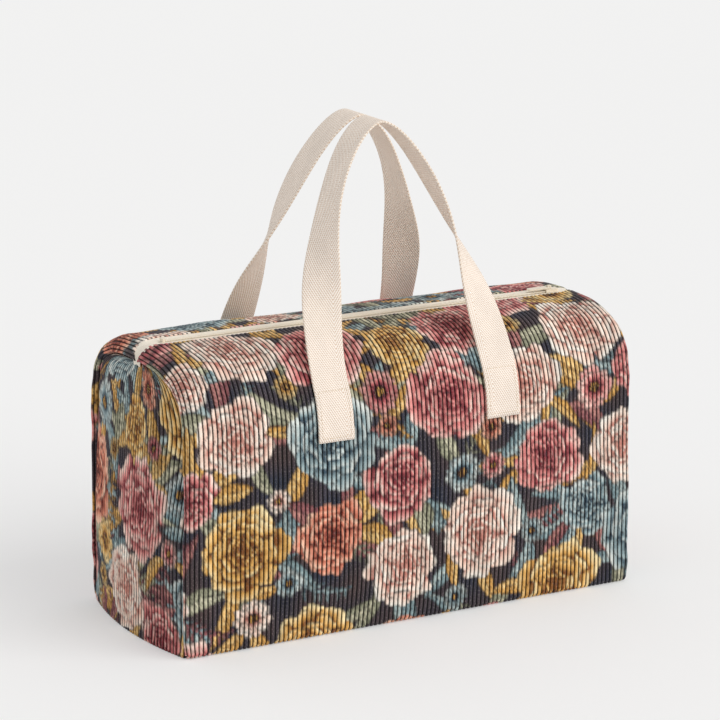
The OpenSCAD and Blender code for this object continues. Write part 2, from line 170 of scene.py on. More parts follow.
class Cloth:
    """A printed cloth seen at the points (s, t), in mm, painted from the rearmost motif on."""

    EDGE = 1.4
    LINE = 1.0

    def __init__(self, s, t, seed):
        self.s = s
        self.t = t
        k = np.clip(0.5 + 0.5 * waves(s, t, 60, seed), 0, 1)[:, None]
        self.colour = GROUND_TONES[0] * (1 - k) + GROUND_TONES[1] * k

    def near(self, x, y, reach):
        """Indices of the points near a motif, and their places relative to it."""
        i = np.nonzero((np.abs(self.s - x) < reach) & (np.abs(self.t - y) < reach))[0]
        return i, self.s[i] - x, self.t[i] - y

    def lay(self, i, colour, cover):
        self.colour[i] += cover[:, None] * (colour - self.colour[i])

    def fill(self, i, colour, d):
        """Paints an area of which the points lie a distance d inside its outline, then the outline."""
        self.lay(i, colour, np.clip(0.5 + d / self.EDGE, 0, 1))
        self.lay(i, LINE_TONE, np.clip(1 - np.abs(d - 0.3) / self.LINE, 0, 1) * 0.75)

    def petal(self, i, x, y, angle, root, length, width, tones, fade, wave, hidden=0.0):
        """One petal along angle, shaded from the part that others hide to a light rim, with veins."""
        c, z = np.cos(angle), np.sin(angle)
        b = (-x * z + y * c) / width
        a = (x * c + y * z - root) / length + 0.05 * np.sin(b * 5 + wave)
        form = np.clip(a, 0, 1)
        half = form**0.55 * (1 - form**4) ** 0.5
        d = np.minimum(half - np.abs(b), np.minimum(a, 1 - a)) * width
        d = np.where((a < 0) | (a > 1), -2.0, d)
        shown = np.clip((form - hidden) / (1 - hidden), 0, 1)
        light = (0.02 + 0.98 * shown**0.6) * fade + 0.10 * np.sin(b * 14 + 3 * a) * (1 - 0.5 * shown)
        self.fill(i, mix_tones(tones, light), d)

    def full_bloom(self, x, y, size, tones, rng):
        """Rings of petals from the rim to the heart, each ring set a little off the last."""
        i, px, py = self.near(x, y, size * 1.25)
        tilt, turn, seed = rng.uniform(0, 2 * np.pi), rng.uniform(0, 6), rng.integers(1000)
        px = px + 1.8 * waves(px, py, 17, seed)
        py = py + 1.8 * waves(px, py, 19, seed + 1)
        lean = np.array([np.cos(tilt), np.sin(tilt)]) * 0.10 * size
        for k, (reach, petals) in enumerate(BLOOM_RINGS):
            share = k / len(BLOOM_RINGS)
            turn += 0.6
            for p in rng.permutation(petals):
                angle = turn + 2 * np.pi * p / petals + rng.uniform(-0.12, 0.12)
                long = size * reach * (rng.uniform(0.78, 1.1) if k == 0 else rng.uniform(0.9, 1.06))
                root = 0.16 * long
                wide = long * np.pi / petals * rng.uniform(1.15, 1.45)
                fade = rng.uniform(0.7, 1.2) * (1.0 - 0.22 * share)
                self.petal(i, px - lean[0] * share, py - lean[1] * share, angle, root, long - root, wide,
                           tones, fade, rng.uniform(0, 6), 0.66)
        r = np.hypot(px - lean[0], py - lean[1])
        self.lay(i, tones[0], np.clip(1.1 - r / (0.09 * size), 0, 1) * 0.85)

    def open_bloom(self, x, y, size, tones, rng):
        """Two rings of narrow petals round a dotted disc."""
        i, px, py = self.near(x, y, size * 1.2)
        count, turn = rng.integers(9, 14), rng.uniform(0, 6)
        for reach, start in [(1.0, 0.0), (0.78, 0.5)]:
            for p in range(count):
                angle = turn + 2 * np.pi * (p + start) / count + rng.uniform(-0.06, 0.06)
                long = size * reach * rng.uniform(0.9, 1.06)
                root = 0.15 * size
                wide = long * np.pi / count * 1.15
                self.petal(i, px, py, angle, root, long - root, wide, tones, rng.uniform(0.7, 1.1),
                           rng.uniform(0, 6), 0.3)
        inside = (0.24 - np.hypot(px, py) / size) * size
        self.fill(i, DISC_TONES[0], inside)
        dots = np.clip(2 * np.sin(px * 2.4) * np.sin(py * 2.4), 0, 1)
        self.lay(i, DISC_TONES[1], np.clip(inside / self.EDGE, 0, 1) * dots)

    def leaf(self, x, y, angle, length, width, tones, bend):
        """A pointed leaf from its root, with a midrib, side veins and two tones."""
        c, z = np.cos(angle), np.sin(angle)
        i, px, py = self.near(x + 0.5 * length * c, y + 0.5 * length * z, length * 0.75)
        a = (px * c + py * z) / length + 0.5
        b = -px * z + py * c - bend * length * 4 * a * (1 - a)
        form = np.clip(a, 0, 1)
        half = width * 1.9 * form**0.75 * (1 - form) ** 0.9 * (1 + 0.05 * np.sin(form * length * 1.1))
        d = np.where((a < 0) | (a > 1), -2.0, half - np.abs(b))
        veins = 0.5 + 0.5 * np.sin((a * length - np.abs(b) * 0.9) * 2 * np.pi / 7.5)
        rim = np.clip(1 - np.abs(b) / (half + 0.01), 0, 1)
        light = np.where(b > 0, 0.64, 0.38) + 0.28 * (veins > 0.55) * rim
        self.fill(i, mix_tones(tones, light), d)
        self.lay(i, tones[0], 0.55 * ((np.abs(veins - 0.5) < 0.16) & (d > 0.8)))
        self.lay(i, tones[0], 0.9 * np.clip(1 - np.abs(b) / 0.9, 0, 1) * ((a > 0) & (a < 0.93)))

    def sprig(self, x, y, angle, length, tones, rng):
        """A thin bowed stem with paired leaflets."""
        bow = 0.25 * length
        c, z = np.cos(angle), np.sin(angle)
        for f in np.arange(1, 7) / 6:
            side_step = bow * np.sin(f * 2.2)
            jx = x + f * length * c - side_step * z
            jy = y + f * length * z + side_step * c
            for side in (-1, 1):
                self.leaf(jx, jy, angle + 0.5 + side * 0.9, length * 0.28 * (1.15 - 0.6 * f),
                          length * 0.055, tones, rng.uniform(-0.18, 0.18))
        i, px, py = self.near(x, y, length * 1.3)
        a = px * c + py * z
        b = -px * z + py * c - bow * np.sin(np.clip(a / length, 0, 1) * 2.2)
        self.lay(i, tones[1], np.clip(1.2 - np.abs(b) / 1.1, 0, 1) * ((a > 0) & (a < length)))


def throw_blooms(s, t, rng):
    """Places of the blooms, thrown from the largest to the smallest so that they barely overlap."""
    low = np.array([s.min(), t.min()]) - 40
    high = np.array([s.max(), t.max()]) + 40
    blooms = []
    for least, greatest, throws, close, kind in THROWS:
        for _ in range(int(throws * np.prod(high - low) / THROW_AREA)):
            size = rng.uniform(least, greatest)
            x, y = rng.uniform(low, high)
            if all((x - b[0]) ** 2 + (y - b[1]) ** 2 > ((size + b[2]) * close) ** 2 for b in blooms):
                blooms.append((x, y, size, kind))
    return blooms


def paint_print(s, t, seed):
    """Colours of the print at cloth points: ground, leaves and sprigs round each bloom, then the blooms."""
    rng = np.random.default_rng(seed)
    blooms = throw_blooms(s, t, rng)
    cloth = Cloth(s, t, seed)
    for x, y, size, _ in blooms:
        for _ in range(2 if size < 24 else 6):
            angle = rng.uniform(0, 2 * np.pi)
            tones = LEAF_TONES[rng.choice(len(LEAF_TONES), p=LEAF_SHARES)]
            cloth.leaf(x + 0.6 * size * np.cos(angle), y + 0.6 * size * np.sin(angle),
                       angle + rng.uniform(-0.5, 0.5), rng.uniform(42, 72), rng.uniform(10, 18), tones,
                       rng.uniform(-0.18, 0.18))
        if rng.uniform() < 0.5:
            angle = rng.uniform(0, 2 * np.pi)
            cloth.sprig(x + 0.6 * size * np.cos(angle), y + 0.6 * size * np.sin(angle), angle,
                        rng.uniform(40, 56), LEAF_TONES[rng.integers(len(LEAF_TONES))], rng)
    drawn = {"full": 0, "open": 0}
    for x, y, size, kind in blooms[::-1]:
        kinds = FULL_KINDS if kind == "full" else OPEN_KINDS
        tones = BLOOM_TONES[kinds[drawn[kind] % len(kinds)]]
        drawn[kind] += 1
        draw = cloth.full_bloom if kind == "full" else cloth.open_bloom
        draw(x, y, size, tones, rng)
    return cloth.colour


# How far the print is drawn to a rib's middle, slips along it, and varies from rib to rib and along one
RIB_DRAW = 0.1
RIB_SLIP = 0.3
RIB_GAIN = 0.07
RIB_DRIFT = 0.08


def print_on_ribs(s, t, pitch, seed):
    """The print as the pile carries it: drawn along the ribs, a little askew and uneven."""
    rng = np.random.default_rng(seed + 500)
    nearest = np.floor(s / pitch + 0.5)
    rib = (nearest - nearest.min()).astype(int)
    count = rib.max() + 1
    slip = rng.normal(0, RIB_SLIP, count)[rib]
    colour = paint_print(s * (1 - RIB_DRAW) + nearest * pitch * RIB_DRAW, t + slip, seed)
    gain = 1 + rng.normal(0, RIB_GAIN, count)[rib]
    drift = rng.uniform(0, 2 * np.pi, (2, count))[:, rib]
    gain += RIB_DRIFT * np.sin(t / 9.0 + drift[0]) * np.sin(t / 23.0 + drift[1])
    return colour * gain[:, None]


# Meshes

def add_object(name, data):
    thing = bpy.data.objects.new(name, data)
    scene.collection.objects.link(thing)
    return thing


def add_attribute(mesh, name, kind, field, values):
    attribute = mesh.attributes.new(name, kind, "POINT")
    attribute.data.foreach_set(field, np.ascontiguousarray(values, np.float32).ravel())


def flipped(faces, uvs):
    """Faces turned over, with the UV places of their corners where there are any."""
    if uvs is not None:
        ends = np.cumsum([len(f) for f in faces])
        uvs = uvs[np.concatenate([np.arange(e - 1, e - len(f) - 1, -1) for e, f in zip(ends, faces)])]
    return [f[::-1] for f in faces], uvs


def make_piece(name, points, faces, uvs, mirror, material):
    """A smooth mesh piece that rides on the bag, from points in mm. mirror is 1 or -1 for each axis."""
    if np.prod(mirror) < 0:
        faces, uvs = flipped(faces, uvs)
    mesh = bpy.data.meshes.new(name)
    mesh.from_pydata((np.asarray(points) * mirror * MM).tolist(), [], faces)
    mesh.polygons.foreach_set("use_smooth", np.ones(len(mesh.polygons), bool))
    if uvs is not None:
        layer = mesh.uv_layers.new(name="OFBake")
        layer.data.foreach_set("uv", np.asarray(uvs, np.float32).ravel())
    mesh.materials.append(material)
    mesh.update()
    piece = add_object(name, mesh)
    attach(piece, "bag")
    return piece


# The lining of a shell takes every tenth column and every second row of its outer grid
STEP_C = 10
STEP_R = 2

# UV places of a shell: outer grid, lining, and a strip for each rim
UV_LEFT = 0.003
UV_WIDE = 0.925
UV_TOP = 0.997
UV_HIGH = 0.975
UV_LINING = 0.945
UV_LINING_WIDE = 0.052
RIM_TOP = (0.008, 0.003)
RIM_FOOT = (0.016, 0.011)
RIM_LEFT = (0.935, 0.932)
RIM_RIGHT = (0.938, 0.941)


def cells(grid):
    """The four corners of each cell of a grid, the way round that goes down first."""
    return np.stack([grid[:-1, :-1], grid[1:, :-1], grid[1:, 1:], grid[:-1, 1:]], 2)


def turned_cells(grid):
    """The four corners of each cell of a grid, the other way round."""
    return cells(grid)[:, :, [0, 3, 2, 1]]


def grid_places(across, down):
    return np.stack(np.meshgrid(across, down), -1)


def shell_faces(rows, cols):
    """Faces and UV places of a shell: a fine outer grid, a coarse lining, and the rims between."""
    outer = np.arange(rows * cols).reshape(rows, cols)
    shape = outer[::STEP_R, ::STEP_C].shape
    inner = rows * cols + np.arange(shape[0] * shape[1]).reshape(shape)
    across = UV_LEFT + UV_WIDE * np.arange(cols) / (cols - 1)
    down = UV_TOP - UV_HIGH * np.arange(rows) / (rows - 1)
    behind = UV_LINING + UV_LINING_WIDE * np.arange(shape[1]) / (shape[1] - 1)
    faces = cells(outer).reshape(-1, 4).tolist() + turned_cells(inner).reshape(-1, 4).tolist()
    uvs = [cells(grid_places(across, down)).reshape(-1, 2),
           turned_cells(grid_places(behind, down[::STEP_R])).reshape(-1, 2)]
    rims = [(outer[0], inner[0], STEP_C, across, RIM_TOP, 1),
            (outer[-1], inner[-1], STEP_C, across, RIM_FOOT, -1),
            (outer[:, 0], inner[:, 0], STEP_R, down, RIM_LEFT, -1),
            (outer[:, -1], inner[:, -1], STEP_R, down, RIM_RIGHT, 1)]
    for edge, back, step, place, strip, turn in rims:
        for a in range(len(back) - 1):
            span = slice(step * a, step * a + step + 1)
            faces.append(edge[span][::turn].tolist() + back[a:a + 2][::-turn].tolist())
            along = np.concatenate([place[span][::turn], place[span][[-1, 0]][::turn]])
            beside = np.repeat(strip, [step + 1, 2])
            uvs.append(np.stack([along, beside] if step == STEP_C else [beside, along], -1))
    return faces, np.concatenate(uvs)


LINING_HEIGHT = 0.6


def build_shell(name, node, outer, normals, s, t, height, pitch, seed, mirror, material):
    """A cloth panel from its outer grid, with the print on its ribs and a plain lining."""
    rows, cols, _ = outer.shape
    inner = (outer - normals * (CLOTH_T - RIB_DEPTH * (1 - height))[..., None])[::STEP_R, ::STEP_C]
    points = np.concatenate([outer.reshape(-1, 3), inner.reshape(-1, 3)])
    faces, uvs = shell_faces(rows, cols)
    piece = make_piece(name, points, faces, uvs, mirror, material)
    lining = inner.shape[0] * inner.shape[1]
    colour = print_on_ribs(s.ravel(), t.ravel(), pitch, seed)
    colour = np.concatenate([colour, np.tile(GROUND_TONES[0], (lining, 1))])
    add_attribute(piece.data, "print", "FLOAT_COLOR", "color", np.c_[colour, np.ones(len(colour))])
    cloth = np.stack([s, t, height], -1).reshape(-1, 3)
    cloth = np.concatenate([cloth, np.tile([0.0, 0.0, LINING_HEIGHT], (lining, 1))])
    add_attribute(piece.data, "cloth", "FLOAT_VECTOR", "vector", cloth)
    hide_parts(node)


def rib_columns(count, pitch):
    """Places of the columns across a ribbed sheet, from -half to half, and the rib's height at each."""
    places = (np.arange(count)[:, None] + RIB_PLACES).ravel()
    places = np.append(places, count) - count / 2
    return places * pitch, np.append(np.tile(RIB_HEIGHTS, count), RIB_HEIGHTS[0])


def swell(x, z):
    """How far the front bulges at a place."""
    return FACE_SWELL * (1 - (x / HALF_L) ** 2) * 4 * (z / BODY_H) * (1 - z / BODY_H)


def taper(z):
    """The cloth draws in a little at the ends, more so towards the top."""
    return DRAWN_IN + DRAWN_SLOPE * (1 - 2 * z / BODY_H)


def settle(outer):
    """Keeps a panel's grid off the ground and draws it in at the ends."""
    outer[..., 2] = np.maximum(outer[..., 2], OFF_GROUND)
    outer[..., 0] *= taper(outer[..., 2])


# Fold over the tape, and how it closes in towards the ends of the zip: amount, start and span of each step
FOLD_R = 0.8
FOLD_TOP = BODY_H - 0.5
FOLD_ABOVE_TAPE = 0.9
ZIP_CLOSE = [(6.0, 226.0, 16.0), (4.0, 244.0, 20.0)]

# Start of the shoulder's round, pulls of the curve between it and the fold, and rows of each part
ROLL_START = math.radians(62)
FOLD_PULL = np.array([-32.0, -1.4])
ROLL_PULL = 22.0
FOLD_ROWS = 3
TURN_ROWS = 5
TOP_ROWS = 35
ROLL_ROWS = 33
FACE_ROWS = 83
FOOT_ROWS = 8


def zip_close(s):
    """How far the panel's fold closes in over the tape towards the ends of the zip."""
    return sum(amount * smooth((np.abs(s) - start) / span) for amount, start, span in ZIP_CLOSE)


def roll_point(a):
    """A point of the shoulder's round, as y and z."""
    return -SHOULDER_Y - SHOULDER_D * math.cos(a), SHOULDER_Z + SHOULDER_H * math.sin(a)


def front_section():
    """The front's section from the zip fold over the shoulder to the underside, as y and z at each row."""
    fold = [(-ZIP_HALF, z) for z in np.linspace(TAPE_Z + FOLD_ABOVE_TAPE, FOLD_TOP - FOLD_R, FOLD_ROWS)]
    turn = [(-ZIP_HALF - FOLD_R * (1 - math.cos(a)), FOLD_TOP - FOLD_R * (1 - math.sin(a)))
            for a in np.linspace(0, math.pi / 2, TURN_ROWS)[1:]]
    p0 = np.array(turn[-1])
    p3 = np.array(roll_point(ROLL_START))
    along = unit(np.array([SHOULDER_D * math.sin(ROLL_START), SHOULDER_H * math.cos(ROLL_START)]))
    p1 = p0 + FOLD_PULL
    p2 = p3 + along * ROLL_PULL
    f = np.linspace(0, 1, TOP_ROWS)[1:, None]
    top = (1 - f) ** 3 * p0 + 3 * f * (1 - f) ** 2 * p1 + 3 * f**2 * (1 - f) * p2 + f**3 * p3
    roll = [roll_point(a) for a in np.linspace(ROLL_START, 0, ROLL_ROWS)[1:]]
    face = [(-HALF_D, z) for z in np.linspace(SHOULDER_Z, FOOT_R, FACE_ROWS)[1:]]
    foot = [(-HALF_D + FOOT_R * (1 - math.cos(a)), FOOT_R * (1 - math.sin(a)))
            for a in np.linspace(0, math.pi / 2, FOOT_ROWS)[1:]]
    return odd_rows(np.concatenate([fold, turn, top, roll, face, foot]), len(fold) + len(turn) + 3)


def odd_rows(rows, spare):
    """Rows of an odd count, as the lining needs, without the spare one where the count is even."""
    return rows if len(rows) % 2 == 1 else np.delete(rows, spare, axis=0)


def section_normals(line):
    d = np.gradient(line, axis=0)
    return unit(np.stack([d[:, 1], -d[:, 0]], -1))


# The right end is less round at the top than the left one
RIGHT_ROUND = 0.55
ROLL_POWER = 1.8


def row_roll(z, roundness):
    """Radius along the length, and depth, of the rolled side edge at a height."""
    w = roundness * np.clip((z - SHOULDER_Z) / SHOULDER_H, 0, 1) ** ROLL_POWER
    return CORNER_ROUND + (TOP_ROUND - CORNER_ROUND) * w, CORNER_ROUND + (ROLL_DEPTH - CORNER_ROUND) * w


def slack_waves(s, t, seed, sizes):
    """Slack of the cloth, from the depth and length of each kind of wave."""
    return sum(depth * waves(s, t, length, seed + 7 + k) for k, (depth, length) in enumerate(sizes))


def puckers(t, depth, step, drift, seed):
    """Small uneven folds along a seam."""
    return depth * np.sin(t / step + 2 * np.sin(t / drift + seed))


FRONT_SLACK = [(1.1, 120), (0.5, 45)]
FRONT_PUCKER = 0.25
PUCKER_REACH = 14
PRESS_DEPTH = 0.8
PRESS_REACH = 9
PRESS_ABOVE = 8
PINCH = 2.0
PINCH_REACH = 20
CLOSE_REACH = 16


def build_front(name, node, mirror, seed, material):
    """Front panel: ribs from the zip fold over the shoulder and under the foot, side edges rolled in."""
    line = front_section()
    normal = section_normals(line)
    t = run_length(line)[:, None]
    s, height = rib_columns(FRONT_RIBS, RIB_PITCH)
    s, height = s[None, :], height[None, :]
    y, z = line[:, :1], line[:, 1:]
    radius, depth = row_roll(z, np.where(s > 0, RIGHT_ROUND, 1.0))
    mean = (radius + depth) / 2
    over = np.maximum(np.abs(s) - HALF_L + radius, 0)
    angle = np.minimum(over / mean, math.pi / 2)
    tuck = np.maximum(over - mean * math.pi / 2, 0)
    side = np.sign(s)
    x = side * np.where(over > 0, HALF_L - radius + radius * np.sin(angle) - TUCK_IN * tuck, np.abs(s))
    fall = depth * (1 - np.cos(angle)) + TUCK_DOWN * tuck
    facing = np.cos(angle)
    normals = np.stack([side * np.sin(angle), facing * normal[:, :1], facing * normal[:, 1:]], -1)
    normals = unit(normals + 1e-9)

    # Slack of the cloth: broad waves, puckers beside the corner seams, and a press under the sewn webbing
    calm = smooth(t / 40) * smooth((z + 2) / 30)
    beside = np.exp(-np.maximum(HALF_L - np.abs(s), 0) / PUCKER_REACH)
    slack = slack_waves(s, t, seed, FRONT_SLACK) + puckers(t, FRONT_PUCKER * beside, 5.2, 31, seed)
    slack = slack * calm
    for leg in (-LEG_X, LEG_X):
        across = np.maximum(np.abs(s - leg) - WEBBING_W / 2, 0)
        past = np.maximum(np.maximum(SEWN_LOW_Z - z, z - LIFT_Z - PRESS_ABOVE), 0)
        press = np.exp(-(np.hypot(across, past) / PRESS_REACH) ** 2)
        slack = slack * (1 - press) - PRESS_DEPTH * press
    pinch = PINCH * smooth(1 - z / PINCH_REACH) * smooth((np.abs(s) - HALF_L + PINCH_REACH) / PINCH_REACH)
    down_y = np.minimum(normal[:, :1], 0)
    down_z = np.where(normal[:, :1] > 0, 1.0, normal[:, 1:])
    base = np.stack([x - side * pinch, y - swell(x, z) - down_y * fall, z - down_z * fall], -1)
    base[..., 1] += zip_close(s) * np.exp(-t / CLOSE_REACH)
    flat = 0.4 + 0.6 * smooth(t / 9)
    outer = base + normals * (slack - RIB_DEPTH * flat * (1 - height))[..., None]
    settle(outer)
    s, t, height, thin = np.broadcast_arrays(s, t, height, 0.5 + 0.5 * smooth(t / 12))
    normals = normals * thin[..., None]
    build_shell(name, node, outer, normals, s, t, height, RIB_PITCH, seed, mirror, material)


# End panels: set behind the rolled edges, with a groove along them and a dip towards the front ones
END_SINK = 2.2
END_PROUD = 2.0
GROOVE = 4.5
BACK_GROOVE = 2.0
GROOVE_REACH = 4.0
DIP = 14.0
BACK_DIP = 4.0
DIP_START = 0.45
DIP_SKEW = 1.6
RIM_DIP = 7.0
RIM_DIP_REACH = 6.0
FACE_MID_Z = (SHOULDER_Z + FOOT_R) / 2
BASE_TUCK = 0.8
BASE_TUCK_H = 6
END_SLACK = [(1.2, 110), (0.5, 40)]
END_PUCKER = 0.3
END_PUCKER_REACH = 12


def end_outline(roundness):
    """Half width and height of the end panel at each row, from the zip's end down to the base."""
    line = front_section()
    first = int(np.argmax(line[:, 1]))
    normal = section_normals(line)[first:]
    line = line[first:]
    keep = line[:, 1] >= FOOT_R
    line, normal = line[keep], normal[keep]
    depth = row_roll(line[:, 1], roundness)[1] + END_SINK
    rows = np.stack([-line[:, 0] + normal[:, 0] * depth, line[:, 1] - normal[:, 1] * depth], -1)
    low = [(rows[-1, 0] - 1.2 * f, rows[-1, 1] * (1 - f) + 0.4 * f) for f in np.linspace(0, 1, 7)[1:]]
    return odd_rows(np.concatenate([rows, low]), 3)


def border_distance(y, z, rows):
    """Distance of each point to the panel's border along the top and both sides."""
    a = np.concatenate([rows[:-1], rows[:-1] * [-1, 1], [rows[0]]])
    b = np.concatenate([rows[1:], rows[1:] * [-1, 1], [rows[0] * [-1, 1]]])
    best = np.full(y.shape, 1e9)
    for p, q in zip(a, b):
        d = q - p
        f = np.clip(((y - p[0]) * d[0] + (z - p[1]) * d[1]) / (d @ d), 0, 1)
        best = np.minimum(best, np.hypot(y - p[0] - f * d[0], z - p[1] - f * d[1]))
    return best


def build_end(name, node, mirror, roundness, seed, material):
    """End panel: ribs that fan in to the zip's end, set in a valley behind the rolled edges."""
    rows = end_outline(roundness)
    places, height = rib_columns(END_RIBS, 2 / END_RIBS)
    u, height = places[None, :], height[None, :]
    w, z = rows[:, :1], rows[:, 1:]
    y = -u * w
    z = z + 0 * u
    border = border_distance(y, z, rows)
    rise = np.clip((z - FACE_MID_Z) / (rows[0, 1] - FACE_MID_Z), 0, 1)
    bend = np.sin(math.pi * rise**DIP_SKEW)
    dip = bend * np.where(u > 0, DIP, BACK_DIP) * smooth((np.abs(u) - DIP_START) / (1 - DIP_START))
    dip = dip + np.where(u > 0, RIM_DIP, 0.0) * bend * np.exp(-border / RIM_DIP_REACH)
    x = END_X + END_PROUD + END_SWELL * (1 - u**2) * (1 - (z / rows[0, 1]) ** 2) - dip
    x = x - np.where(u > 0, GROOVE, BACK_GROOVE) * np.exp(-border / GROOVE_REACH) * smooth(z / 30)
    x = x - BASE_TUCK * np.maximum(1 - z / BASE_TUCK_H, 0) ** 2
    s = u * HALF_D + 0 * z
    t = BODY_H - z
    calm = smooth(border / 25) * smooth(z / 20)
    beside = np.exp(-border / END_PUCKER_REACH) * smooth(border / 3)
    slack = slack_waves(s, t, seed, END_SLACK) * calm + puckers(t, END_PUCKER * beside, 5.0, 27, seed)
    base = np.stack([-x - slack, y, z], -1)
    normals = unit(np.cross(np.gradient(base, axis=0), np.gradient(base, axis=1)))
    normals = np.where(normals[..., :1] > 0, -normals, normals)
    fine = np.clip(w / HALF_D * 1.1, 0.1, 1)
    outer = base - normals * (RIB_DEPTH * fine * (1 - height))[..., None]
    settle(outer)
    height = np.broadcast_to(height, s.shape)
    build_shell(name, node, outer, normals, s, t, height, 2 * HALF_D / END_RIBS, seed, mirror, material)


# Webbing handles

ARCH_POWER = 2 / 1.68
LEAN = 1.36
TURN_END = 0.82
ARCH_STEPS = 150
SEWN_STEPS = 16
SLOPE_STEP = 0.5


def face_y(x, z):
    """The front's surface at a place."""
    s = np.clip((z - SHOULDER_Z) / SHOULDER_H, 0, 1)
    return -SHOULDER_Y - SHOULDER_D * np.sqrt(1 - s * s) - swell(x, z)


def face_normal(x, z):
    slope = (face_y(x + SLOPE_STEP, z) - face_y(x - SLOPE_STEP, z)) / (2 * SLOPE_STEP)
    return unit(np.array([slope, -1.0, 0.0]))


def webbing_y(x, z):
    return face_y(x, z) - SEAM_GAP - WEBBING_T / 2


def arch_point(angle):
    """A point of the handle's free loop, which leans in towards the zip as it rises."""
    h = max(math.sin(angle), 0.0) ** ARCH_POWER
    c = math.cos(angle)
    lift_y = webbing_y(LEG_X, LIFT_Z)
    lean = LEAN * h + (1 - LEAN) * h * h
    x = -LEG_X * math.copysign(abs(c) ** ARCH_POWER, c)
    return np.array([x, lift_y - (HANDLE_TOP_Y + lift_y) * lean, LIFT_Z + (ARCH_TOP - LIFT_Z) * h])


def webbing_line():
    """Middle line of a handle with its outward normals, from one sewn end over the arch to the other."""
    heights = np.linspace(SEWN_LOW_Z, LIFT_Z, SEWN_STEPS)[:-1]
    points = [np.array([-LEG_X, webbing_y(LEG_X, z), z]) for z in heights]
    normals = [face_normal(-LEG_X, z) for z in heights]
    step = math.pi / ARCH_STEPS / 4
    for k in range(ARCH_STEPS + 1):
        angle = math.pi * k / ARCH_STEPS
        p = arch_point(angle)
        along = unit(arch_point(min(math.pi, angle + step)) - arch_point(max(0.0, angle - step)))
        w = smooth((p[2] - LIFT_Z) / (ARCH_TOP - LIFT_Z) / TURN_END)
        points.append(p)
        normals.append((1 - w) * face_normal(p[0], LIFT_Z) + w * unit(np.array([-along[2], 0.0, along[0]])))
    points += [np.array([LEG_X, webbing_y(LEG_X, z), z]) for z in heights[::-1]]
    normals += [face_normal(LEG_X, z) for z in heights[::-1]]
    return np.array(points), np.array(normals)


def webbing_frames():
    """Points of the middle line with the directions out of the webbing and across it."""
    points, normals = webbing_line()
    along = unit(np.gradient(points, axis=0))
    normals = unit(normals - along * np.sum(along * normals, axis=1, keepdims=True))
    return points, normals, np.cross(along, normals)


def webbing_outline():
    """Cross-section of the webbing: across and out, with rounded edges, anticlockwise."""
    half = WEBBING_W / 2
    r = WEBBING_T / 2
    flat = np.linspace(-half + r, half - r, 13)
    turns = np.linspace(-math.pi / 2, math.pi / 2, 7)[1:-1]
    edge = [(half - r + r * math.cos(a), r * math.sin(a)) for a in turns]
    low = [(b, -r) for b in flat]
    high = [(b, r) for b in flat[::-1]]
    other = [(-b, -o) for b, o in edge]
    return np.array(low + edge + high + other)


# UV places of a tube: its wall, and a disc for each cap
UV_EDGE = 0.01
UV_WALL_WIDE = 0.9
UV_WALL_HIGH = 0.98
UV_CAP_R = 0.03
UV_CAPS = [(0.955, 0.25), (0.955, 0.75)]


def tube_faces(rings, sides):
    """Faces of a closed tube of rings, capped at both ends, with UV places."""
    ring = np.arange(rings * sides).reshape(rings, sides)
    wall = turned_cells(np.concatenate([ring, ring[:, :1]], axis=1))
    faces = wall.reshape(-1, 4).tolist() + [ring[0, ::-1].tolist(), ring[-1].tolist()]
    across = UV_EDGE + UV_WALL_WIDE * np.arange(sides + 1) / sides
    down = UV_EDGE + UV_WALL_HIGH * np.arange(rings) / (rings - 1)
    places = turned_cells(grid_places(across, down)).reshape(-1, 2)
    a = 2 * math.pi * np.arange(sides) / sides
    disc = UV_CAP_R * np.stack([np.cos(a), np.sin(a)], -1)
    return faces, np.concatenate([places, disc[::-1] + UV_CAPS[0], disc + UV_CAPS[1]])


def build_strip(name, node, rings, outline, length, mirror, material):
    """A woven strip from its rings, which also carry their places across and along it."""
    faces, uvs = tube_faces(len(length), len(outline))
    piece = make_piece(name, rings.reshape(-1, 3), faces, uvs, mirror, material)
    cloth = np.stack(np.broadcast_arrays(outline[None, :, 0], length[:, None], 0.0), -1)
    add_attribute(piece.data, "cloth", "FLOAT_VECTOR", "vector", cloth.reshape(-1, 3))
    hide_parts(node)


# Ends of the webbing, folded under: length of the fold, its rise, and how thin the last millimetre is
HEM_L = 15.0
HEM_RISE = 0.7
HEM_FADE = 4
TIP_L = 1.0
TIP_THIN = 0.55


def hem_rise(end):
    """How far the folded end lifts the webbing's face at a distance from its end."""
    return HEM_RISE * smooth((HEM_L - end) / HEM_FADE)


def build_handle(name, node, mirror, material):
    """A webbing loop with rounded edges, its ends folded under and rounded off."""
    points, normals, across = webbing_frames()
    outline = webbing_outline()
    length = run_length(points)
    ends = np.minimum(length, length[-1] - length)
    thick = np.where(ends < TIP_L, TIP_THIN, 1.0)[:, None]
    out = outline[:, 1] * thick
    out = np.where(out > 0, out + hem_rise(ends)[:, None] * thick, out)
    rings = points[:, None] + across[:, None] * outline[:, :1] + normals[:, None] * out[..., None]
    build_strip(name, node, rings, outline, length, mirror, material)


STITCH_L = 2.7
STITCH_STEP = 3.5
STITCH_R = 0.33
STITCH_PROFILE = [(-1.0, 0.25), (-0.75, 0.8), (0.0, 1.0), (0.75, 0.8), (1.0, 0.25)]
STITCH_SIDES = 6
STITCH_SINK = 0.35
STITCH_LIFT = 0.08
BOX_INSET_X = 3.6
BOX_INSET_Z = 4.0


def thread_mesh(stitches):
    """Points and faces of separate stitches, each from its middle, direction and lift."""
    points, faces = [], []
    for middle, way, up in stitches:
        side = np.cross(way, up)
        start = len(points)
        for place, fat in STITCH_PROFILE:
            sink = -STITCH_SINK * STITCH_R * place * place
            for j in range(STITCH_SIDES):
                a = 2 * math.pi * j / STITCH_SIDES
                points.append(middle + way * place * STITCH_L / 2
                              + (side * math.cos(a) + up * math.sin(a)) * fat * STITCH_R + up * sink)
        tube, _ = tube_faces(len(STITCH_PROFILE), STITCH_SIDES)
        faces += [[start + v for v in f] for f in tube]
    return points, faces


